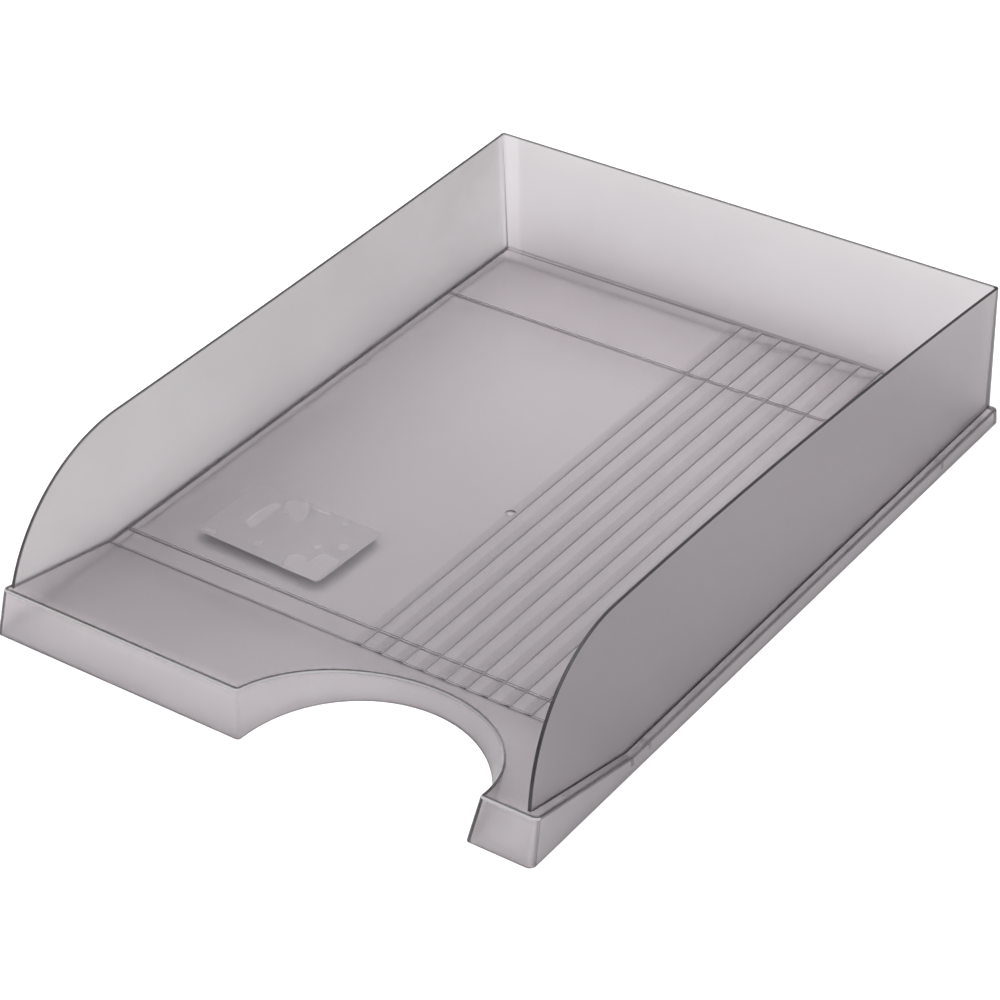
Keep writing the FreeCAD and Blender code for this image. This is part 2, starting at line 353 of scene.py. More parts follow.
# ---------------------------------------------------------------- plan outline of the base
def outline(z, inset):
    """Plan outline at height z, from the back right corner round the front to the back left."""
    def fillet(x, y, radius, start, stop, steps):
        return [(x + radius * math.cos(t), y + radius * math.sin(t)) for t in span(start, stop, steps)]

    side_x = HALF_W - inset - SKIRT_DRAFT * z
    apron_lean = (LIP_Y - FRONT_Y) / LIP_Z
    front_y = FRONT_Y + apron_lean * z + inset * math.hypot(1.0, apron_lean)
    corner_r = max(FRONT_CORNER_R - inset, MIN_CORNER_R)
    radius = CUT_R + (CUT_TOP_R - CUT_R) / LIP_Z * z + inset
    centre = (CUT_X, FRONT_Y + CUT_TOP_SHIFT / LIP_Z * z)
    cut_corner_r = max(CUT_CORNER_R - inset, MIN_CORNER_R)
    reach = radius + cut_corner_r
    corner_y = front_y + cut_corner_r
    half_gap = math.sqrt(reach ** 2 - (corner_y - centre[1]) ** 2)
    meet = math.asin((corner_y - centre[1]) / reach)

    quarter = math.pi / 2
    back_limit = BACK_Y - inset
    start, stop = side_x - corner_r, centre[0] + half_gap
    right = [(side_x, min(y, back_limit)) for y in SIDE_YS]
    right += fillet(start, front_y + corner_r, corner_r, 0.0, -quarter, FRONT_CORNER_STEPS)
    right += [(x, front_y) for x in span(start, stop, APRON_STEPS_RIGHT)[1:-1]]
    right += fillet(stop, corner_y, cut_corner_r, -quarter, -math.pi + meet, CUT_CORNER_STEPS)
    arc = fillet(*centre, radius, meet, math.pi - meet, CUT_STEPS)[1:-1]
    start, stop = centre[0] - half_gap, -side_x + corner_r
    left = fillet(start, corner_y, cut_corner_r, -meet, -quarter, CUT_CORNER_STEPS)
    left += [(x, front_y) for x in span(start, stop, APRON_STEPS_LEFT)[1:-1]]
    left += fillet(stop, front_y + corner_r, corner_r, -quarter, -math.pi, FRONT_CORNER_STEPS)
    left += [(-side_x, min(y, back_limit)) for y in reversed(SIDE_YS)]
    return right + arc + left


def columns_of(inset):
    """Straight lines up the skirt, apron and cut-out wall, as (foot, point at lip height)."""
    return [(Vector((*foot, 0.0)), Vector((*head, LIP_Z)))
            for foot, head in zip(outline(0.0, inset), outline(LIP_Z, inset))]


def at_height(column, z):
    """The point of a column at height z."""
    return column[0].lerp(column[1], z / LIP_Z)


SETTLE_ROUNDS = 30
SETTLE_SHARE = 0.8                   # of the remaining difference, made up in each round


def on_surface(column, height):
    """Where a column meets the surface z = height(y)."""
    z = FLOOR_Z
    for _ in range(SETTLE_ROUNDS):
        z = lerp(z, height(at_height(column, z).y), SETTLE_SHARE)
    return at_height(column, z)


OUTER = columns_of(0.0)
INNER = columns_of(SKIRT_T)
SIDE_COUNT = len(SIDE_YS)


def rounded_edges():
    """For each outer column, the points of the rounded edge from the skirt up onto the top."""
    edge = [on_surface(c, top_z) for c in OUTER]
    result = []
    for i, (column, corner) in enumerate(zip(OUTER, edge)):
        before, after = edge[max(i - 1, 0)], edge[min(i + 1, len(edge) - 1)]
        along = after - before
        if abs(corner.y - CREASE_Y) < TINY or i in (0, len(edge) - 1):
            along = Vector((0.0, after.y - before.y, 0.0))
            up = Vector((0.0, 0.0, 1.0))
        elif corner.y > CREASE_Y:
            up = Vector((0.0, 0.0, 1.0))
        else:
            up = Vector((0.0, RAMP_SLOPE, 1.0)).normalized()
        along.normalize()
        inward = along.cross(up).normalized()
        wall = (column[0] - column[1]).normalized()
        down = (wall - along * wall.dot(along)).normalized()
        angle = inward.angle(down)
        reach = EDGE_R / math.tan(angle / 2)
        middle = corner + (inward + down).normalized() * EDGE_R / math.sin(angle / 2)
        low, high = corner + down * reach - middle, corner + inward * reach - middle
        result.append([middle + low.slerp(high, t) * EDGE_R / low.slerp(high, t).length
                       for t in span(0.0, 1.0, EDGE_STEPS)])
    return result


EDGES = rounded_edges()


# ---------------------------------------------------------------- walls
def lean(side, y):
    """How far a side wall's top edge draws in there."""
    along = (max(y, LEAN_FULL_Y) - LEAN_FULL_Y) / (BACK_Y - LEAN_FULL_Y)
    return LEAN[side] * (1.0 - along ** 2)


def rise(z):
    """0 at the floor's level, 1 at the top edge."""
    return (z - FLOOR_Z) / (HEIGHT - FLOOR_Z)


def outer_x(side, y, z):
    """Distance of a side wall's outer face from the middle."""
    return WALL_X + (WALL_TOP_X - WALL_X - lean(side, y)) * rise(z)


def inner_x(side, y, z):
    """Distance of a side wall's inner face from the middle."""
    return INNER_X + (WALL_TOP_X - WALL_TOP_T - INNER_X - lean(side, y)) * rise(z)


def back_inner_y(z):
    """Where the inner face of the back wall is."""
    return lerp(BACK_FOOT_Y, BACK_TOP_Y, rise(z))


def column_ends(y):
    """Foot and top of a side wall at that station, as (y, z) pairs."""
    foot = (y, top_z(y))
    if y >= SWEEP_Y:
        return foot, (y, HEIGHT)
    angle = sweep_angle(y)
    return foot, (SWEEP_Y - SWEEP_R * math.sin(angle), SWEEP_Z + SWEEP_R * math.cos(angle))


def outer_point(side, y, z, turn):
    """A point of the outer face; turn is the direction round the back corner, or None."""
    if turn is None:
        return Vector((side * outer_x(side, y, z), y, z))
    x = outer_x(side, BACK_Y, z) - OUTER_CORNER_R * (1 - math.cos(turn))
    return Vector((side * x, BACK_Y - OUTER_CORNER_R * (1 - math.sin(turn)), z))


def inner_point(side, y, z, turn):
    """A point of the inner face, likewise."""
    if turn is None:
        return Vector((side * inner_x(side, y, z), y, z))
    x = inner_x(side, BACK_Y, z) - INNER_CORNER_R * (1 - math.cos(turn))
    return Vector((side * x, back_inner_y(z) - INNER_CORNER_R * (1 - math.sin(turn)), z))


def wall_section(side, y, turn=None):
    """Outline of the wall at one station, from the outer foot over the rim to the inner foot."""
    (foot_y, foot_z), (head_y, head_z) = column_ends(y)
    body = []
    for point in (outer_point, inner_point):
        foot, head = point(side, foot_y, foot_z, turn), point(side, head_y, head_z, turn)
        up = (head - foot).normalized()
        shoulder = head - up * RIM_R
        first = min(FOOT_LINE_SHARE, FOOT_LINE / (shoulder - foot).length)
        rows = [point(side, lerp(foot_y, shoulder.y, t), lerp(foot_z, shoulder.z, t), turn)
                for t in [0.0] + span(first, 1.0, WALL_ROWS)]
        body.append((rows, up, shoulder))
    (outer_rows, up, outer_shoulder), (inner_rows, _, inner_shoulder) = body
    across = (inner_shoulder - outer_shoulder).normalized()
    turns = span(0.0, math.pi / 2, RIM_STEPS)[1:]
    rim = [outer_rows[-1] + across * RIM_R * (1 - math.cos(t)) + up * RIM_R * math.sin(t) for t in turns]
    turns = span(math.pi / 2, 0.0, RIM_STEPS)[:-1]
    rim += [inner_rows[-1] - across * RIM_R * (1 - math.cos(t)) + up * RIM_R * math.sin(t) for t in turns]
    return outer_rows, rim, inner_rows[::-1]


def wall_sections(side):
    """The wall's outlines at all stations, from the back forward."""
    turned = {round(y, 6): t for y, t in zip(CORNER_YS, CORNER_TURNS)}
    return [wall_section(side, y, turned.get(round(y, 6))) for y in SIDE_YS]


# ---------------------------------------------------------------- grip ridges
CREST_TURNS = span(-0.14, math.pi / 3, CREST_STEPS)


def ridge_profile(face_x):
    """XZ outline of one ridge, left to right: a long rise, a round crest and a short fall."""
    rise_from = face_x - RIDGE_PITCH / 2
    rise = [(rise_from, 0.0), (rise_from + RISE_STEP[0], RISE_STEP[1])]
    crest = [(face_x - CREST_BACK + CREST_R * math.sin(t), RIDGE_H - CREST_R + CREST_R * math.cos(t))
             for t in CREST_TURNS]
    return rise + crest + [(face_x + dx, dz) for dx, dz in FALL_STEPS]


RIDGES = [ridge_profile(RIDGE_X + i * RIDGE_PITCH) for i in range(RIDGE_COUNT)]


# ---------------------------------------------------------------- the moulding
LEFT_SIDE = len(OUTER) - SIDE_COUNT - 1  # first stretch of the outline on the left side


def on_side(i):
    """Whether the outline's stretch after column i is on one of the long sides."""
    return i < SIDE_COUNT or i >= LEFT_SIDE


def at_rib(i, line=0.0):
    """Whether that stretch is the end of a cross rib, or of the line in front of one."""
    middle = (OUTER[i][0].y + OUTER[i + 1][0].y) / 2
    return on_side(i) and any(low - line < middle < high for low, high in RIBS)


def in_cutout(i):
    """0 on the apron and at the cut-out's left end, 1 on most of its wall."""
    foot = OUTER[i][0]
    if on_side(i) or math.hypot(foot.x - CUT_X, foot.y - FRONT_Y) > CUT_R + CUT_SLACK:
        return 0.0
    return min(1.0, (foot.x - CUT_X + CUT_R) / CUT_FADE)


LEFT_CORNER_DARK = 2                 # stretches at the end of the left front corner that are painted dark as shade


def skirt_finishes(i):
    """Finishes of hem, lower skirt, upper skirt and shoulder on the stretch after column i."""
    if i >= LEFT_SIDE:
        return SKIRT_INSIDE, SKIRT_INSIDE, SKIRT_INSIDE, EDGE
    # painted shade: a dark line on the front right corner, and on the end of the left one
    if i == SIDE_COUNT or i >= LEFT_SIDE - LEFT_CORNER_DARK:
        return HEM, PAINTED_DARK_MARK, PAINTED_DARK_MARK, SHOULDER
    # painted highlight: a pale band on the front right corner's rounding
    if SIDE_COUNT + 1 < i < SIDE_COUNT + FRONT_CORNER_STEPS:
        return HEM, CORNER_GLOW, CORNER_GLOW, SHOULDER
    # apron and cut-out wall: smoky tint, with painted shade growing along the cut-out wall to the right
    if not on_side(i):
        apron = (APRON[0], lerp(APRON[1], CUT_SHADE, in_cutout(i)))
        return HEM, apron, apron, SHOULDER
    # painted shade: dark marks at the rib ends on the side skirts
    if at_rib(i, RIB_LINE_W):
        return HEM, SKIRT, PAINTED_DARK_MARK, PAINTED_DARK_MARK
    return HEM, SKIRT, SKIRT, SHOULDER


# rows of points up an outer column: foot, hem, lower end of the rib marks, then the rounded edge
HEM_ROWS = slice(0, 2)
LOWER_ROWS = slice(1, 3)
UPPER_ROWS = slice(2, 4)
SHOULDER_ROWS = slice(3, 7)
TOP_ROWS = slice(6, None)


def add_base(shell):
    """Skirts, apron and cut-out wall, their rounded upper edge, and their inner faces."""
    outer, inner = [], []
    for column, edge in zip(OUTER, EDGES):
        outer.append([column[0], at_height(column, HEM_H), at_height(column, MARK_LOW_Z)] + edge)
    for column in INNER:
        inner.append([column[0], at_height(column, RIB_BOTTOM_Z), on_surface(column, under_z)])
    for i in range(len(outer) - 1):
        a, b = outer[i], outer[i + 1]
        hem, lower, upper, shoulder = skirt_finishes(i)
        shell.grid([a[HEM_ROWS], b[HEM_ROWS]], hem)
        shell.grid([a[LOWER_ROWS], b[LOWER_ROWS]], lower)
        shell.grid([a[UPPER_ROWS], b[UPPER_ROWS]], upper)
        # the lip and cut-out edge get the opaque painted highlight, dimmed by painted shade towards the
        # cut-out's right
        if not on_side(i):
            shoulder = (SHOULDER[0], CUT_BAND_SHADE * in_cutout(i))
            shell.slot = PAINTED_OPAQUE_SLOT
        shell.grid([a[SHOULDER_ROWS], b[SHOULDER_ROWS]], shoulder)
        shell.slot = PLASTIC
        shell.grid([a[TOP_ROWS], b[TOP_ROWS]], EDGE if on_side(i) else LIP_LINE)
    shell.grid([[a[0], b[0]] for a, b in zip(outer, inner)], SKIRT_INSIDE)
    shell.grid([c[:2] for c in inner], SKIRT_INSIDE)
    last = len(inner) - 1
    for i in range(last):
        if not at_rib(i):
            shell.face([inner[i][1], inner[i + 1][1], inner[i + 1][2], inner[i][2]], SKIRT_INSIDE)
    shell.face([outer[0][0], outer[-1][0], inner[-1][0], inner[0][0]], SKIRT_INSIDE)
    shell.face(inner[0] + inner[-1][::-1], SKIRT_INSIDE)
    return outer, inner


def station(y):
    """Index of the station nearest to y."""
    return min(range(SIDE_COUNT), key=lambda i: abs(SIDE_YS[i] - y))


def add_underside(shell, inner):
    """Underside of floor and ramp, between the cross ribs, and the ribs themselves."""
    last = len(inner) - 1
    rib_row, floor_row = 1, 2

    def band(start, stop, row):
        right = [inner[k][row] for k in range(start, stop + 1)]
        left = [inner[last - k][row] for k in range(stop, start - 1, -1)]
        return right + left

    back = 0
    for low, high in RIBS:
        i, j, line = station(high), station(low), station(low - RIB_LINE_W)
        shell.face(band(back, i, floor_row))
        for k in (i, j):
            right, left = inner[k], inner[last - k]
            shell.face([right[floor_row], right[rib_row], left[rib_row], left[floor_row]], RIB_SIDE)
        shell.face(band(i, j, rib_row), RIB_SIDE)
        # painted shade: a dark strip on the underside in front of each rib
        shell.face(band(j, line, floor_row), RIB_LINE)
        back = line
    shell.face([inner[k][floor_row] for k in range(back, last - back + 1)])


def rim_of(section):
    """The rounded top edge of one wall section."""
    outside, rim, inside = section
    return [outside[-1]] + rim + [inside[0]]


def add_walls(shell, right, left):
    """Both side walls, the back wall between them, and the rim over all three."""
    corner = len(CORNER_TURNS) - 1
    for side, walls in ((1, right), (-1, left)):
        for i, (a, b) in enumerate(zip(walls, walls[1:])):
            # painted shade: dark strips along the feet and rims, darker back corners, the left wall darker
            # than the right
            face = CORNER if i < corner else WALL[side]
            shell.grid([a[0][:2], b[0][:2]], FOOT)
            shell.grid([a[0][1:], b[0][1:]], face)
            shell.grid([rim_of(a), rim_of(b)], RIM[side])
            shell.grid([a[2][:-1], b[2][:-1]], face)
            shell.grid([a[2][-2:], b[2][-2:]], FOOT)
        tip = walls[-1]
        shell.face(tip[0] + tip[1] + tip[2], RIM[side])
    shell.grid([rim_of(right[0]), rim_of(left[0])], BACK_RIM)


def at_back(x, rise_z):
    """A point of the floor's outline at the foot of the back wall."""
    z = FLOOR_Z + rise_z
    return Vector((x, back_inner_y(z), z))


def add_back_wall(shell, right, left, outer):
    """Both faces of the back wall; the outer one is flush with the back of the skirt."""
    ledge_right, ledge_left = outer[0], outer[-1]
    shell.face(ledge_right + right[0][0][:1] + left[0][0][:1] + ledge_left[::-1], SKIRT_INSIDE)
    # painted shade: dark strips along the back wall's feet, outside and inside
    shell.face([right[0][0][0], right[0][0][1], left[0][0][1], left[0][0][0]], FOOT)
    shell.face(right[0][0][1:] + left[0][0][:0:-1], BACK_WALL)
    foot = [at_back(x, dz) for profile in RIDGES for x, dz in profile]
    line = [at_back(x, BACK_LINE) for x in (RIDGES[0][0][0], RIDGES[-1][-1][0])]
    line_left, line_right = left[0][2][-2], right[0][2][-2]
    shell.face([left[0][2][-1]] + foot + [right[0][2][-1], line_right] + line[::-1] + [line_left], FOOT)
    shell.face(left[0][2][:-1] + line + right[0][2][-2::-1], BACK_WALL)


def add_top(shell, right, left, outer):
    """Ledges, floor, ridges and ramp."""
    last = len(outer) - 1
    paired = [i for i in range(SIDE_COUNT) if SIDE_YS[i] >= PAIRED_Y]
    end = paired[-1]
    for i in paired[:-1]:
        shell.face([outer[i][-1], outer[i + 1][-1], right[i + 1][0][0], right[i][0][0]], EDGE)
        shell.face([outer[last - i][-1], outer[last - i - 1][-1], left[i + 1][0][0], left[i][0][0]], EDGE)

    crease = station(CREASE_Y)
    right_feet, left_feet = [w[2][-1] for w in right], [w[2][-1] for w in left]
    first, final = RIDGES[0], RIDGES[-1]
    nose_y = CREASE_Y - RIDGE_NOSE

    def floor_strip(x0, x1):
        front = [Vector((x, CREASE_Y, FLOOR_Z)) for x in (x0, x1)]
        return [front[0], at_back(x0, 0.0), at_back(x1, 0.0), front[1]]

    shell.face(left_feet[:crease + 1] + floor_strip(first[0][0], first[0][0])[:2])
    shell.face(right_feet[:crease + 1] + floor_strip(final[-1][0], final[-1][0])[:2])
    for a, b in zip(RIDGES, RIDGES[1:]):
        shell.face(floor_strip(a[-1][0], b[0][0]))
    for profile in RIDGES:
        front = [Vector((x, nose_y, top_z(nose_y) + NOSE_SHARE * dz)) for x, dz in profile]
        fold = [Vector((x, CREASE_Y, FLOOR_Z + dz)) for x, dz in profile]
        behind = [at_back(x, dz) for x, dz in profile]
        lines = list(zip(front, fold, behind))
        # painted shade on each ridge: a darker rise and crest, the steepest faces in the opaque painted
        # material
        for k, (finish, slot) in enumerate(zip(RIDGE_FINISHES, RIDGE_SLOTS)):
            shell.slot = slot
            shell.grid(lines[k:k + 2], finish)
        # painted shade: the ridge's front end is a dark opaque dash
        shell.slot = PAINTED_OPAQUE_SLOT
        shell.face(front, PAINTED_DARK_MARK)
        shell.slot = PLASTIC

    ridge_feet = []
    for profile in RIDGES:
        x0, x1 = profile[0][0], profile[-1][0]
        ridge_feet += [Vector((x, y, top_z(y))) for x, y in
                       ((x0, CREASE_Y), (x0, nose_y), (x1, nose_y), (x1, CREASE_Y))]
    front_edge = [outer[k][-1] for k in range(end, last - end + 1)]
    left_side = [left[k][0][0] for k in range(end, SIDE_COUNT)] + left_feet[:crease - 1:-1]
    right_side = right_feet[crease:] + [right[k][0][0] for k in range(SIDE_COUNT - 1, end - 1, -1)]
    shell.face(front_edge + left_side + ridge_feet + right_side)


def build_moulding():
    """The whole tray as one closed shell."""
    shell = Shell()
    outer, inner = add_base(shell)
    right, left = wall_sections(1), wall_sections(-1)
    add_underside(shell, inner)
    add_walls(shell, right, left)
    add_back_wall(shell, right, left, outer)
    add_top(shell, right, left, outer)
    return shell.finish("moulding")


def cut_gate_mark(piece):
    """The shallow round dimple that the injection gate leaves in the floor, with one side of its wall
    painted dark as shade.
    """
    bm = bmesh.new()
    frost, shade = (bm.faces.layers.float.new(name) for name in ("frost", "shade"))
    rings = []
    for share, z in GATE_RINGS:
        r = GATE_R * share
        rings.append([bm.verts.new((r * math.cos(t), GATE_Y + r * math.sin(t), FLOOR_Z + z))
                      for t in span(0.0, 2 * math.pi, GATE_SIDES)[:-1]])
    for a, b in zip(rings, rings[1:]):
        for k in range(GATE_SIDES):
            after = (k + 1) % GATE_SIDES
            face = bm.faces.new((a[k], a[after], b[after], b[k]))
            angle = 2 * math.pi * (k + 0.5) / GATE_SIDES
            # painted shade: the mark's side wall is painted dark on that side
            dark = a is not rings[0] and math.cos(angle - GATE_PAINTED_SHADE_TURN) > GATE_PAINTED_SHADE_REACH
            face[frost], face[shade] = FOOT if dark else EDGE
    cutter = as_object(bm, "gate_cutter", GATE_WELD)
    cut = piece.modifiers.new("gate", "BOOLEAN")
    cut.operation, cut.solver, cut.object = "DIFFERENCE", "EXACT", cutter
    apply_modifiers(piece)
    mesh = cutter.data
    bpy.data.objects.remove(cutter)
    bpy.data.meshes.remove(mesh)


def apply_modifiers(piece):
    """Turn the modifiers' result into the piece's own mesh."""
    graph = bpy.context.evaluated_depsgraph_get()
    mesh = bpy.data.meshes.new_from_object(piece.evaluated_get(graph))
    piece.modifiers.clear()
    piece.data = mesh


FLAT_FACE_WEIGHT = 90


def smooth(piece, angle):
    """Smooth shading with crisp edges, with flat faces keeping their own direction."""
    piece.data.shade_smooth()
    piece.data.set_sharp_from_angle(angle=math.radians(angle))
    weighted = piece.modifiers.new("weighted_normal", "WEIGHTED_NORMAL")
    weighted.keep_sharp = True
    weighted.weight = FLAT_FACE_WEIGHT


# ---------------------------------------------------------------- the label
LABEL_LOW, LABEL_HIGH = box_mm("label")
LABEL_LENGTH, LABEL_WIDTH = 64.0, 40.0
LABEL_T = 0.12
LABEL_TURN = math.radians(-2.0)
LABEL_CORNER_R = 1.5
LABEL_PRESS = 0.01                   # how far it is pressed into the underside of the floor
LABEL_COLUMNS, LABEL_ROWS = 150, 84
BUBBLE_DEPTH = 0.3
BUBBLE_EDGE = 3.0                    # steepness of a bubble's edge
BUBBLE_POWER = 4                     # 2 would give ellipses; more gives fuller outlines
# trapped air: centre and half sizes on the label, from its own middle, and the turn of each bubble
BUBBLES = [
    ((-16.0, 3.0), (2.9, 9.4), 0.0), ((-7.5, 14.5), (5.2, 4.6), 0.5), ((-3.5, 10.5), (3.0, 3.2), 0.0),
    ((16.0, -14.5), (4.6, 5.2), 0.4), ((22.5, -16.5), (8.5, 3.4), 0.0), ((25.5, -9.5), (5.0, 6.0), 0.0),
    ((-4.5, -13.0), (1.6, 1.7), 0.2), ((25.0, 4.5), (2.0, 2.4), 0.1), ((-26.0, -17.5), (3.2, 1.4), -0.1),
    ((17.0, -1.5), (1.3, 1.1), 0.0), ((2.5, 18.5), (5.0, 0.9), 0.0), ((15.5, 17.0), (1.0, 0.9), 0.2),
]


def bubble_lift(x, y):
    """0 where the label sticks to the floor, 1 in the middle of a bubble."""
    lift = 0.0
    for (cx, cy), (rx, ry), turn in BUBBLES:
        u = ((x - cx) * math.cos(turn) + (y - cy) * math.sin(turn)) / rx
        v = (-(x - cx) * math.sin(turn) + (y - cy) * math.cos(turn)) / ry
        inside = max(0.0, 1.0 - u ** BUBBLE_POWER - v ** BUBBLE_POWER)
        lift = max(lift, min(1.0, BUBBLE_EDGE * inside))
    return lift


def build_label():
    """A thin sheet pressed against the underside of the floor, with trapped air."""
    shell = Shell()
    centre = (LABEL_LOW + LABEL_HIGH) / 2
    turn = Matrix.Rotation(LABEL_TURN, 3, "Z")

    def place(x, y, depth):
        turned = turn @ Vector((x, y, 0.0))
        z = FLOOR_Z - FLOOR_T + LABEL_PRESS - BUBBLE_DEPTH * bubble_lift(x, y) - depth
        return Vector((centre.x + turned.x, centre.y + turned.y, z))

    spots = []
    for x in span(-LABEL_LENGTH / 2, LABEL_LENGTH / 2, LABEL_COLUMNS):
        past = max(0.0, abs(x) - (LABEL_LENGTH / 2 - LABEL_CORNER_R))
        corner = math.sqrt(max(0.0, LABEL_CORNER_R ** 2 - past ** 2))
        half = LABEL_WIDTH / 2 - LABEL_CORNER_R + corner
        spots.append([(x, y) for y in span(-half, half, LABEL_ROWS)])
    air = [[bubble_lift(x, y) for x, y in column] for column in spots]
    top, bottom = ([[place(x, y, depth) for x, y in column] for column in spots] for depth in (0.0, LABEL_T))
    for i in range(LABEL_COLUMNS):
        for k in range(LABEL_ROWS):
            lifted = (air[i][k] + air[i + 1][k] + air[i][k + 1] + air[i + 1][k + 1]) / 4
            shell.face([top[i][k], top[i + 1][k], top[i + 1][k + 1], top[i][k + 1]], (lifted, 0.0))
    shell.grid(bottom)
    for end in (0, -1):
        shell.grid([[column[end] for column in top], [column[end] for column in bottom]])
        shell.grid([top[end], bottom[end]])
    return shell.finish("paper_label")


# ---------------------------------------------------------------- materials
class Nodes:
    """Short names for building one material's node tree."""

    def __init__(self, name):
        self.material = bpy.data.materials.new(name)
        self.material.use_nodes = True
        self.tree = self.material.node_tree
        self.shader = self.tree.nodes["Principled BSDF"]
        self.output = self.tree.nodes["Material Output"]

    def add(self, kind, **settings):
        """A new node with those properties."""
        node = self.tree.nodes.new(kind)
        for key, value in settings.items():
            setattr(node, key, value)
        return node

    def link(self, source, target):
        """Join two sockets."""
        self.tree.links.new(source, target)

    def set(self, name, value):
        """Give one of the shader's inputs a constant or a source."""
        if isinstance(value, (int, float)):
            self.shader.inputs[name].default_value = value
        else:
            self.link(value, self.shader.inputs[name])

    def place(self):
        """The object's own coordinates, in metres."""
        return self.add("ShaderNodeTexCoord").outputs["Object"]

    def axis(self, name):
        """One of the object's own coordinates, in metres."""
        split = self.add("ShaderNodeSeparateXYZ")
        self.link(self.place(), split.inputs["Vector"])
        return split.outputs[name]

    def attribute(self, name):
        """The value that a face carries under that name."""
        return self.add("ShaderNodeAttribute", attribute_name=name).outputs["Fac"]

    def noise(self, scale, detail, roughness=0.5):
        """Noise between 0 and 1, with scale cells to the metre."""
        node = self.add("ShaderNodeTexNoise")
        node.inputs["Scale"].default_value = scale
        node.inputs["Detail"].default_value = detail
        node.inputs["Roughness"].default_value = roughness
        self.link(self.place(), node.inputs["Vector"])
        return node.outputs["Fac"]

    def remap(self, source, from_low, from_high, low, high):
        """A smooth step from low to high while the source goes through its own range."""
        node = self.add("ShaderNodeMapRange", interpolation_type="SMOOTHSTEP")
        ends = {"From Min": from_low, "From Max": from_high, "To Min": low, "To Max": high}
        for name, value in ends.items():
            node.inputs[name].default_value = value
        self.link(source, node.inputs["Value"])
        return node.outputs["Result"]

    def math(self, operation, a, b):
        """Sum, difference, product or greater one of two values."""
        node = self.add("ShaderNodeMath", operation=operation)
        for socket, value in zip(node.inputs, (a, b)):
            if isinstance(value, (int, float)):
                socket.default_value = value
            else:
                self.link(value, socket)
        return node.outputs["Value"]

    def blend(self, factor, a, b):
        """Colour a where factor is 0, colour b where it is 1."""
        node = self.add("ShaderNodeMix", data_type="RGBA")
        node.inputs["A"].default_value = (*a, 1.0)
        node.inputs["B"].default_value = (*b, 1.0)
        self.link(factor, node.inputs["Factor"])
        return node.outputs["Result"]

    def bump(self, height, strength, distance, under=None):
        """Relief of that depth in metres, on top of another one if given."""
        node = self.add("ShaderNodeBump")
        node.inputs["Strength"].default_value = strength
        node.inputs["Distance"].default_value = distance
        self.link(height, node.inputs["Height"])
        if under:
            self.link(under, node.inputs["Normal"])
        return node.outputs["Normal"]


# painted shade and light in the plastic's colour: a range of one coordinate in metres, and the shade at its
# ends
# walls painted lighter low down and darker towards the rim, the smooth floor painted darker towards the
# front, a paler band painted under the lip, a paler band of painted light beside the back left corner
WALL_PAINTED_SHADE_BY_Z = (0.006, 0.065, -0.08, 0.04)
FLOOR_PAINTED_SHADE_BY_Y = (0.16, -0.10, 0.0, 0.17)
LIP_PAINTED_LIGHT_BY_Z = (0.009, 0.018, 0.0, -0.13)
LIP_PAINTED_LIGHT_REACH_BY_Y = (-0.155, -0.163, 0.0, 1.0)
BACK_CORNER_PAINTED_LIGHT_BY_X = (-0.1155, -0.1140, -0.09, 0.0)
BACK_CORNER_PAINTED_LIGHT_REACH_BY_Y = (0.161, 0.164, 0.0, 1.0)

# the stretch of a noise's values that is spread over a range of tones
WIDE_NOISE = (0.3, 0.7)
NARROW_NOISE = (0.35, 0.65)
PATCH_NOISE = (0.40, 0.62)

WHITE = (1.0, 1.0, 1.0)
# the colour at full painted shade
FULL_SHADE = (0.02, 0.02, 0.02)
SMOKE_TINT = (0.52, 0.44, 0.49, 1.0)
SMOKE_DENSITY = 250.0                # of the tint, per metre
POLYSTYRENE_IOR = 1.45
GLOSS_TO_FROST = (0.0, 1.0, 0.14, 0.36)


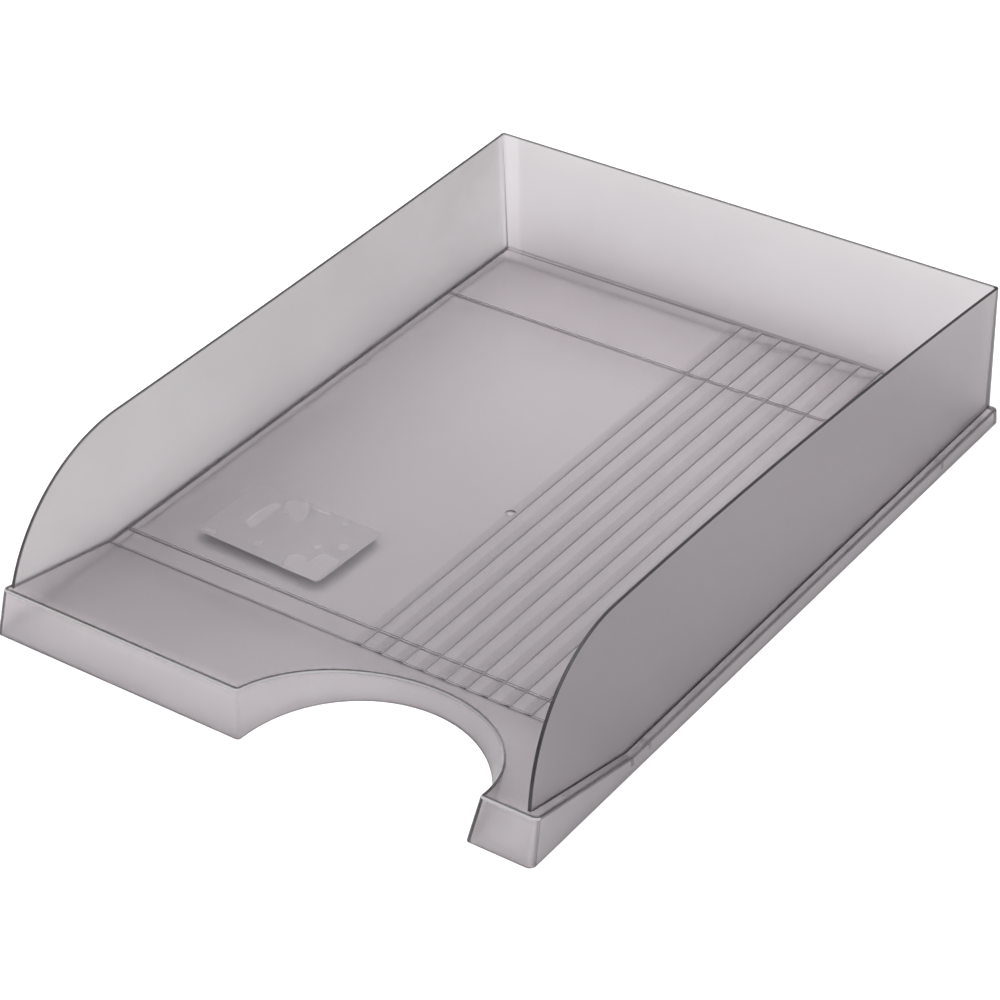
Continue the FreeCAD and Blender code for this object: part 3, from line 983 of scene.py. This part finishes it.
def smoke_plastic():
    """Translucent smoke-grey polystyrene: smooth floor, finely frosted walls and skirts; its base colour
    also carries painted shade and painted light.
    """
    m = Nodes("smoke_plastic")
    m.set("Transmission Weight", 1.0)
    m.set("IOR", POLYSTYRENE_IOR)
    frost, shade = m.attribute("frost"), m.attribute("shade")
    # painted shade and light from the gradients above, on the frosted and on the smooth faces
    upward = m.math("MULTIPLY", frost, m.remap(m.axis("Z"), *WALL_PAINTED_SHADE_BY_Z))
    smooth_part = m.math("SUBTRACT", 1.0, frost)
    forward = m.math("MULTIPLY", m.remap(m.axis("Y"), *FLOOR_PAINTED_SHADE_BY_Y), smooth_part)
    lip = m.math("MULTIPLY", m.remap(m.axis("Z"), *LIP_PAINTED_LIGHT_BY_Z), m.remap(m.axis("Y"), *LIP_PAINTED_LIGHT_REACH_BY_Y))
    painted_corner_light = m.math("MULTIPLY", m.remap(m.axis("X"), *BACK_CORNER_PAINTED_LIGHT_BY_X),
                         m.remap(m.axis("Y"), *BACK_CORNER_PAINTED_LIGHT_REACH_BY_Y))
    painted_gradients = m.math("ADD", m.math("ADD", lip, painted_corner_light), m.math("ADD", upward, forward))
    # the faces' shade values and the painted gradients darken or lighten the base colour
    m.set("Base Color", m.blend(m.math("ADD", shade, painted_gradients), WHITE, FULL_SHADE))
    grain = m.remap(m.noise(900.0, detail=2.0), *NARROW_NOISE, -0.03, 0.03)
    flow = m.remap(m.noise(22.0, detail=3.0, roughness=0.6), *WIDE_NOISE, -0.02, 0.03)
    m.set("Roughness", m.math("ADD", m.remap(frost, *GLOSS_TO_FROST), m.math("ADD", grain, flow)))
    waves = m.bump(m.noise(14.0, detail=2.0), strength=0.05, distance=0.0006)
    m.set("Normal", m.bump(m.noise(2600.0, detail=2.0), strength=0.012, distance=0.00005, under=waves))
    tint = m.add("ShaderNodeVolumeAbsorption")
    tint.inputs["Color"].default_value = SMOKE_TINT
    tint.inputs["Density"].default_value = SMOKE_DENSITY
    m.link(tint.outputs["Volume"], m.output.inputs["Volume"])
    return m.material


PAINTED_HIGHLIGHT = (0.36, 0.347, 0.354)
PAINTED_LINE_DARK = (0.05, 0.048, 0.049)
EDGE_STREAKS = 0.12                  # how much of the way to the dark end its streaks go


def painted_highlight_and_lines():
    """Opaque painted highlight on the rounded lip and cut-out edge as a pale band, also used for painted
    dark lines on the ridges.
    """
    m = Nodes("painted_highlight_and_lines")
    streak = m.remap(m.noise(35.0, detail=3.0, roughness=0.6), *WIDE_NOISE, 0.0, 1.0)
    tone = m.math("ADD", m.attribute("shade"), m.math("MULTIPLY", streak, EDGE_STREAKS))
    m.set("Base Color", m.blend(tone, PAINTED_HIGHLIGHT, PAINTED_LINE_DARK))
    m.set("Roughness", m.remap(m.noise(300.0, detail=2.0), *WIDE_NOISE, 0.28, 0.4))
    m.set("Normal", m.bump(m.noise(900.0, detail=2.0), strength=0.05, distance=0.00004))
    return m.material


PAPER_STUCK = (0.958, 0.973, 0.966)
PAPER_OVER_AIR = (0.993, 0.996, 0.994)


def label_paper():
    """Blank matt paper label: grey-green where it sticks to the plastic, paler over trapped air."""
    m = Nodes("label_paper")
    air = m.attribute("frost")
    patch = m.remap(m.noise(70.0, detail=4.0, roughness=0.65), *PATCH_NOISE, 0.0, 0.55)
    m.set("Base Color", m.blend(m.math("MAXIMUM", air, patch), PAPER_STUCK, PAPER_OVER_AIR))
    m.set("Roughness", m.remap(m.noise(400.0, detail=3.0), *WIDE_NOISE, 0.5, 0.7))
    m.set("Normal", m.bump(m.noise(1500.0, detail=4.0), strength=0.2, distance=0.00004))
    return m.material


STUDIO_WHITES = ((0.945, 0.945, 0.945), (0.955, 0.955, 0.955))


def studio_floor():
    """Nearly even matt white."""
    m = Nodes("studio_floor")
    m.set("Base Color", m.blend(m.noise(3.0, detail=2.0), *STUDIO_WHITES))
    m.set("Roughness", 0.9)
    m.set("Specular IOR Level", 0.1)
    return m.material


# ---------------------------------------------------------------- stage, lights and camera
STUDIO_HALF = 4.0                    # metres
STUDIO_DROP = 0.0001                 # keeps the studio floor clear of the tray's lower edge


def add_floor():
    """The white surface under the tray."""
    corners = [(x * STUDIO_HALF, y * STUDIO_HALF, 0) for x, y in ((-1, -1), (1, -1), (1, 1), (-1, 1))]
    mesh = bpy.data.meshes.new("studio_floor")
    mesh.from_pydata(corners, [], [(0, 1, 2, 3)])
    floor = bpy.data.objects.new("studio_floor", mesh)
    floor.location.z = -STUDIO_DROP
    bpy.context.collection.objects.link(floor)
    mesh.materials.append(studio_floor())


WORLD_STRENGTH = 0.7
OVERHEAD_PLACE = Vector((0.15, -0.2, 1.6))  # metres
OVERHEAD_SIZE = 1.8
OVERHEAD_WATTS = 34.0


def add_lights():
    """An even white studio and one large soft light overhead, aimed at the tray."""
    world = bpy.data.worlds.new("studio")
    world.use_nodes = True
    background = world.node_tree.nodes["Background"]
    background.inputs["Color"].default_value = (*WHITE, 1.0)
    background.inputs["Strength"].default_value = WORLD_STRENGTH
    bpy.context.scene.world = world
    data = bpy.data.lights.new("overhead", "AREA")
    data.shape, data.size, data.energy = "SQUARE", OVERHEAD_SIZE, OVERHEAD_WATTS
    light = bpy.data.objects.new("overhead", data)
    light.location = OVERHEAD_PLACE
    light.rotation_euler = (-OVERHEAD_PLACE).to_track_quat("-Z", "Y").to_euler()
    bpy.context.collection.objects.link(light)


CAMERA_AZIMUTH = math.radians(35.781)
CAMERA_ELEVATION = math.radians(35.740)
CAMERA_ROLL = math.radians(-1.754)
CAMERA_DISTANCE = 1302.157           # millimetres from the aim point
CAMERA_AIM = (17.729, -14.555)       # right of and above the origin, in the picture plane
CAMERA_SHIFT = (-0.06, 0.06)
CAMERA_CLIP = (0.1, 20.0)
SENSOR_WIDTH = 36.0
FOCAL_LENGTH = 116.691


def add_camera():
    """The camera, looking down at the tray from its front right."""
    az, el, roll = CAMERA_AZIMUTH, CAMERA_ELEVATION, CAMERA_ROLL
    back = Vector((math.sin(az) * math.cos(el), -math.cos(az) * math.cos(el), math.sin(el)))
    level = Vector((math.cos(az), math.sin(az), 0.0))
    upward = back.cross(level)
    right = level * math.cos(roll) + upward * math.sin(roll)
    up = upward * math.cos(roll) - level * math.sin(roll)
    data = bpy.data.cameras.new("camera")
    data.sensor_width, data.lens = SENSOR_WIDTH, FOCAL_LENGTH
    data.shift_x, data.shift_y = CAMERA_SHIFT
    data.clip_start, data.clip_end = CAMERA_CLIP
    camera = bpy.data.objects.new("camera", data)
    place = (back * CAMERA_DISTANCE + right * CAMERA_AIM[0] + up * CAMERA_AIM[1]) * MM
    turn = Matrix((right, up, back)).transposed().to_4x4()
    camera.matrix_world = Matrix.Translation(place) @ turn
    bpy.context.collection.objects.link(camera)
    bpy.context.scene.camera = camera


# ---------------------------------------------------------------- the object
PLASTIC_NODES = [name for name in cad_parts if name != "label"]
MOULDING_CREASE = 32.0               # degrees; edges that turn more stay crisp
LABEL_CREASE = 40.0


def add_object():
    """The moulding and the label under its floor."""
    moulding = build_moulding()
    moulding.data.materials.append(smoke_plastic())
    moulding.data.materials.append(painted_highlight_and_lines())
    cut_gate_mark(moulding)
    smooth(moulding, MOULDING_CREASE)
    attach(moulding, "root")
    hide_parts(*PLASTIC_NODES)

    label = build_label()
    smooth(label, LABEL_CREASE)
    label.data.materials.append(label_paper())
    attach(label, "root")
    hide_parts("label")


add_camera()
add_floor()
add_lights()
add_object()
bpy.context.scene.view_settings.view_transform = "Standard"
